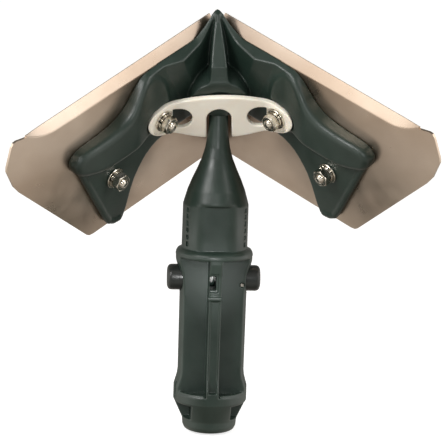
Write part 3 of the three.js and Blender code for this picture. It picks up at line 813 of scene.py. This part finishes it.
def add_fasteners():
    """At each bolt, from the seat out: washer, lock washer, nut and the bolt's end."""
    for label, side in SIDES.items():
        for place, (_, _, seat) in BOLTS.items():
            tag = f"{place}_{label}"
            spin = Matrix.Rotation(math.radians(BOLT_SPIN[tag]), 4, "Z")
            turn = bolt_matrix(side, place) @ spin
            washer = washer_shape(seat + WASHER_AT, BORE_R, WASHER_R, WASHER_THICKNESS)
            lock = lock_washer_shape(seat + LOCK_AT, BORE_R, LOCK_R, LOCK_THICKNESS)
            shapes = [
                ("bolt", bolt_shape(seat + TIP_AT), 0.0),
                ("washer", washer, 0.0),
                ("lock_washer", lock, 0.12),
                ("nut", nut_shape(seat + NUT_AT, NUT_HEIGHT, NUT_FLATS), 0.1),
            ]
            for kind, (points, faces), bevel in shapes:
                node = f"{kind}_{tag}"
                piece = add_piece(f"plated_{node}", points, faces, turn, "zinc", "head", node)
                if bevel:
                    crisp_edges(piece, bevel, 28)
                else:
                    piece.data.set_sharp_from_angle(angle=math.radians(38))


# ---- spigot ---------------------------------------------------------------------------------

# The outside, from just below the end up, as (radius, height).
SPIGOT_PROFILE = [
    (9.6, -0.001), (11.2, 0.9), (12.0, 2.6), (12.2, 5.4), (16.4, 14.4), (16.4, 20.8), (15.1, 25.5),
    (14.8, 28), (14.9, 62), (15.5, 72), (17, 78), (17, 81.4), (16.2, 82.7), (14.6, 83), (14.5, 102.7),
    (12.7, 109), (10.8, 113.8), (8.7, 118.4), (6.8, 123), (5.5, 127.6), (4.8, 132), (4.3, 137),
    (4.1, 143.2),
]
NECK_TOP = SPIGOT_PROFILE[-1][1]
BUTTON_Z = 69.4
# Beyond every wall, for cuts that are open on that side.
PAST = 40

# Blocks as low corner, high corner and softness. In (|x|, |y|, z), so in all four quarters:
BARREL_FLAT = ((-PAST, 12.7, 83.2), (PAST, PAST, 102.8), 1.6)
POCKET = ((2.8, 7.0, 18), (PAST, PAST, 79.2), 0.7)
END_RECESS = ((8.8, 1.6, 6.2), (PAST, PAST, 13.4), 0.5)
SIDE_SLOT = ((14.9, 2.2, 15.6), (PAST, 4.4, 22.5), 0.3)
RIB_PANEL = ((-1, 14.3, 20), (1.7, PAST, 61.4), 0.3)
# In (x, y, z), on the front rib only:
RIB_LEDGE = ((-3.2, -15.5, 61.8), (2.8, -10, 63.4), 0.3)
WINDOW_FRAME = ((-2.8, -PAST, 65.4), (1.2, -14.2, 73.6), 0.25)
WINDOW = ((-2.6, -PAST, 66.4), (0.2, 0, 72.4), 0.25)

# Raised rings around the spigot: radius, height and thickness.
POCKET_LIP = (15.3, 18.3, 0.65)
COLLAR_RIM = (16.8, 80.3, 0.4)
LIP_START = 3.4

DASH_X = (12.1, 12.8)
DASH_Z = (84, 101.6)
DASH_PITCH = 3.1
DASH_LENGTH = 1.9
DASH_FLOOR_R = 13.95

BUTTON_BORE_R = 6.0
END_BORE_R = 8.6
END_BORE_DEPTH = 14
PIN_X, PIN_DROP, PIN_HOLE_R, PIN_HOLE_TIP = 12.3, 2, 1.0, 3


def box_distance(values, low, high):
    """How far a place is outside a box, along the axis where it is furthest; negative inside."""
    distance = -np.inf
    for value, a, b in zip(values, low, high):
        distance = np.maximum(distance, np.maximum(a - value, value - b))
    return distance


def carve(field, values, block):
    low, high, softness = block
    return without(field, box_distance(values, low, high), softness)


def ring_distance(x, y, z, ring):
    radius, height, thickness = ring
    return np.hypot(np.hypot(x, y) - radius, z - height) - thickness


def dash_distance(x, y, z):
    """A row of short grooves down each corner of the barrel."""
    row = box_distance((np.abs(x), z), (DASH_X[0], DASH_Z[0]), (DASH_X[1], DASH_Z[1]))
    dash = np.abs((z - DASH_Z[0]) % DASH_PITCH - DASH_PITCH / 2) - DASH_LENGTH / 2
    return np.maximum(np.maximum(row, dash), DASH_FLOOR_R - np.hypot(x, y))


def spigot_field(x, y, z):
    """The turned profile with its pockets, ledge, rings, grooves, window and bores."""
    heights = [height for _, height in SPIGOT_PROFILE]
    radii = [radius for radius, _ in SPIGOT_PROFILE]
    level = z.ravel()
    radius = np.interp(level, heights, radii)
    slope = np.clip(np.abs(np.gradient(radius, level)), 0, 1.2)
    lean = (1 / np.sqrt(1 + slope**2)).reshape(z.shape)
    across = np.abs(x)
    quarter = (across, np.abs(y), z)
    field = (np.hypot(x, y) - radius.reshape(z.shape)) * lean
    field = common(field, -z, 0.8)
    field = common(field, z - NECK_TOP, 0.5)
    field = carve(field, quarter, BARREL_FLAT)
    field = carve(field, quarter, POCKET)
    low, high, softness = RIB_LEDGE
    field = union(field, box_distance((x, y, z), low, high), softness)
    field = union(field, np.maximum(ring_distance(x, y, z, POCKET_LIP), LIP_START - across), 0.4)
    field = carve(field, quarter, END_RECESS)
    field = carve(field, quarter, SIDE_SLOT)
    field = without(field, dash_distance(x, y, z), 0.25)
    field = union(field, ring_distance(x, y, z, COLLAR_RIM), 0.3)
    field = carve(field, quarter, RIB_PANEL)
    field = without(field, np.hypot(y, z - BUTTON_Z) - BUTTON_BORE_R, 0.4)
    field = carve(field, (x, y, z), WINDOW_FRAME)
    field = carve(field, (x, y, z), WINDOW)
    end_bore = np.maximum(np.hypot(x, y) - END_BORE_R, z - END_BORE_DEPTH)
    field = without(field, end_bore, 0.6)
    for side in SIDES.values():
        hole = np.hypot(x - side * PIN_X, z - BUTTON_Z + PIN_DROP) - PIN_HOLE_R
        field = without(field, np.maximum(hole, side * y + PIN_HOLE_TIP), 0.2)
    return field


PIVOT_PIN = [(0, 140.8), (2.5, 140.8), (2.5, 150.4), (1.9, 151), (0, 151)]


def add_spigot(step=0.36):
    low = (-17.8, -17.8, -0.7)
    x, y, z = grid(low, (17.8, 17.8, NECK_TOP + 1.2), step)
    points, faces = surface_net(spigot_field(x, y, z).astype(np.float32), low, step)
    spigot = add_piece("moulded_spigot", points, faces, ROW, "moulding", "handle", "spigot")
    lighten(spigot, 0.3)
    pin, pin_faces = turned(PIVOT_PIN, 40)
    add_piece("pivot_pin", pin, pin_faces, ROW, "moulding", "handle")


# ---- buttons and spring ---------------------------------------------------------------------

BUTTON_PROFILE = [
    (0, 17.6), (2.5, 17.6), (2.5, 7.5), (2.7, 7.3), (5.3, 7.3), (5.75, 7.8), (5.75, 18.6), (5.6, 19.4),
    (5.2, 20.05), (4.6, 20.4), (4.0, 20.6), (0, 20.6),
]
SPRING_R, WIRE_R, SPRING_END = 1.9, 0.45, 17.2
SPRING_TURNS = 12.5
STEPS_PER_TURN = 20
WIRE_POINTS = 10


def add_buttons():
    for label, side in SIDES.items():
        points, faces = turned(BUTTON_PROFILE, 72)
        quarter = Matrix.Rotation(side * math.pi / 2, 4, "Y")
        place = ROW @ Matrix.Translation((0, 0, BUTTON_Z)) @ quarter
        name, body, node = f"press_button_{label}", f"{label}_button", f"button_{label}"
        button = add_piece(name, points, faces, place, "button", body, node)
        button.data.set_sharp_from_angle(angle=math.radians(40))


def half_coil(side):
    """Wire wound from the middle of the spigot out to one button's cup."""
    reach = SPRING_END - WIRE_R
    steps = round(SPRING_TURNS * STEPS_PER_TURN)
    climb = side * reach / (2 * math.pi * SPRING_TURNS)
    rows = []
    for i in range(steps + 1):
        share = i / steps
        angle = 2 * math.pi * SPRING_TURNS * share
        out = Vector((0, math.cos(angle), math.sin(angle)))
        forward = Vector((climb, -SPRING_R * math.sin(angle), SPRING_R * math.cos(angle)))
        across = forward.normalized().cross(out)
        centre = Vector((side * share * reach, SPRING_R * math.cos(angle), SPRING_R * math.sin(angle)))
        row = []
        for k in range(WIRE_POINTS):
            turn = 2 * math.pi * k / WIRE_POINTS
            row.append(centre + WIRE_R * (out * math.cos(turn) + across * math.sin(turn)))
        rows.append(row)
    first = sum(rows[0], Vector((0, 0, 0))) / WIRE_POINTS
    last = sum(rows[-1], Vector((0, 0, 0))) / WIRE_POINTS
    return ring_surface(rows, WIRE_POINTS, first, last)


def add_spring():
    """Two halves, each wound from the middle out to its own button's cup."""
    place = ROW @ Matrix.Translation((0, 0, BUTTON_Z))
    for label, side in SIDES.items():
        points, faces = half_coil(side)
        half = add_piece(f"coil_{label}", points, faces, place, "zinc", "handle", "button_spring")
        half.data.materials[0] = LOOKS["spring"]
        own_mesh(half)


add_head_body()
add_strip()
for wing_label, wing_side in SIDES.items():
    add_wing(wing_label, wing_side)
add_fasteners()
add_spigot()
add_buttons()
add_spring()


# ---- camera, light and floor ----------------------------------------------------------------

# Where the camera stands about the point it looks at, and its focal length in image widths.
AZIMUTH = math.radians(-4.64)
ELEVATION = math.radians(9.65)
ROLL = math.radians(1.89)
DISTANCE = 0.8404
FOCUS = Vector((0.0032, -0.0003, 0.0942))
FOCAL_SHARE = 1900 / 445


def add_camera():
    data = bpy.data.cameras.new("camera")
    data.sensor_width = 36.0
    data.lens = data.sensor_width * FOCAL_SHARE
    camera = bpy.data.objects.new("camera", data)
    bpy.context.scene.collection.objects.link(camera)
    turn = Matrix.Rotation(AZIMUTH, 3, "Z")
    forward = turn @ Vector((0, math.cos(ELEVATION), -math.sin(ELEVATION)))
    up = turn @ Vector((0, math.sin(ELEVATION), math.cos(ELEVATION)))
    right = turn @ Vector((1, 0, 0))
    across = right * math.cos(ROLL) + up * math.sin(ROLL)
    upward = up * math.cos(ROLL) - right * math.sin(ROLL)
    axes = Matrix((across, upward, -forward)).transposed().to_4x4()
    camera.matrix_world = Matrix.Translation(FOCUS - forward * DISTANCE) @ axes
    bpy.context.scene.camera = camera


def place_light(data, place, target):
    light = bpy.data.objects.new(data.name, data)
    bpy.context.scene.collection.objects.link(light)
    light.location = place
    light.rotation_euler = (Vector(target) - Vector(place)).to_track_quat("-Z", "Y").to_euler()


def add_area(name, place, target, size, power):
    data = bpy.data.lights.new(name, "AREA")
    data.shape = "RECTANGLE"
    data.size, data.size_y = size
    data.energy = power
    place_light(data, place, target)


def add_spot(name, place, target, cone, power):
    """A soft-edged spot light; its cone is in degrees."""
    data = bpy.data.lights.new(name, "SPOT")
    data.energy = power
    data.spot_size = math.radians(cone)
    data.spot_blend = 1.0
    data.shadow_soft_size = 0.01
    place_light(data, place, target)


FLOOR_REACH = 6.0
FLOOR_LEVEL = -0.0006
FLOOR_GLOW = 0.72


def add_floor():
    """A white floor that the camera sees; the object neither reflects it nor is lit by it."""
    mesh = bpy.data.meshes.new("floor")
    signs = ((-1, -1), (1, -1), (1, 1), (-1, 1))
    corners = [(x * FLOOR_REACH, y * FLOOR_REACH, FLOOR_LEVEL) for x, y in signs]
    mesh.from_pydata(corners, [], [(0, 1, 2, 3)])
    floor = bpy.data.objects.new("floor", mesh)
    bpy.context.scene.collection.objects.link(floor)
    look = Look("pale_floor", (0.6, 0.6, 0.6), 0.7)
    look.colour_from(look.ramp(look.noise(3, 2), [(0.3, (0.58, 0.58, 0.58)), (0.7, (0.62, 0.62, 0.62))]))
    look.set("Emission Color", (1.0, 1.0, 1.0, 1.0))
    look.set("Emission Strength", FLOOR_GLOW)
    mesh.materials.append(look.material)
    floor.visible_diffuse = False
    floor.visible_glossy = False


# Each row: a direction in the room, the cosine at which its patch starts, and its light.
ROOM = [
    ((-1, -0.1, 0.15), 0.76, (1.88, 1.83, 1.77)),
    ((1, -0.1, 0.15), 0.76, (1.83, 1.78, 1.73)),
    ((0, 0.25, 1), 0.62, (0.14, 0.14, 0.13)),
    ((0, -1, 0.15), 0.70, (0.28, 0.27, 0.26)),
    ((0, 0, -1), 0.72, (0.24, 0.21, 0.18)),
    ((0, 1, 0.1), 0.60, (0.34, 0.33, 0.31)),
]
ROOM_FILL = (0.76, 0.71, 0.65)
PATCH_BLEND = 0.2


def add_world():
    """Soft patches: bright sides, darker ceiling, front, back and below; the camera sees white."""
    world = bpy.data.worlds.new("studio")
    bpy.context.scene.world = world
    world.use_nodes = True
    nodes, links = world.node_tree.nodes, world.node_tree.links
    direction = nodes.new("ShaderNodeTexCoord").outputs["Generated"]
    shade = None
    for towards, start, light in ROOM:
        facing = nodes.new("ShaderNodeVectorMath")
        facing.operation = "DOT_PRODUCT"
        facing.inputs[1].default_value = Vector(towards).normalized()
        links.new(direction, facing.inputs[0])
        share = nodes.new("ShaderNodeMapRange")
        share.interpolation_type = "SMOOTHSTEP"
        share.inputs["From Min"].default_value = start
        share.inputs["From Max"].default_value = start + PATCH_BLEND
        links.new(facing.outputs["Value"], share.inputs["Value"])
        mix = nodes.new("ShaderNodeMix")
        mix.data_type = "RGBA"
        links.new(share.outputs["Result"], mix.inputs["Factor"])
        if shade is None:
            mix.inputs["A"].default_value = (*ROOM_FILL, 1)
        else:
            links.new(shade, mix.inputs["A"])
        mix.inputs["B"].default_value = (*light, 1)
        shade = mix.outputs["Result"]
    seen = nodes.new("ShaderNodeMix")
    seen.data_type = "RGBA"
    links.new(nodes.new("ShaderNodeLightPath").outputs["Is Camera Ray"], seen.inputs["Factor"])
    links.new(shade, seen.inputs["A"])
    seen.inputs["B"].default_value = (1, 1, 1, 1)
    background = nodes["Background"]
    links.new(seen.outputs["Result"], background.inputs["Color"])
    background.inputs["Strength"].default_value = 1.0


add_camera()
add_world()
add_floor()
add_area("key_left", (-0.7, -0.5, 0.75), (0, 0, 0.1), (0.5, 0.5), 3)
add_area("key_right", (0.7, -0.45, 0.7), (0, 0, 0.1), (0.4, 0.5), 2.5)
add_area("front", (-0.05, -0.9, 0.25), (0, 0, 0.08), (0.12, 0.12), 1.6)
add_area("above_camera", (-0.5, -0.5, 0.55), (0, 0, 0.1), (0.25, 0.25), 2.4)
add_spot("spring_window", (-0.03, -0.75, 0.16), (-0.0013, 0, BUTTON_Z * MM), 2.6, 16)
bpy.context.scene.view_settings.view_transform = "Standard"
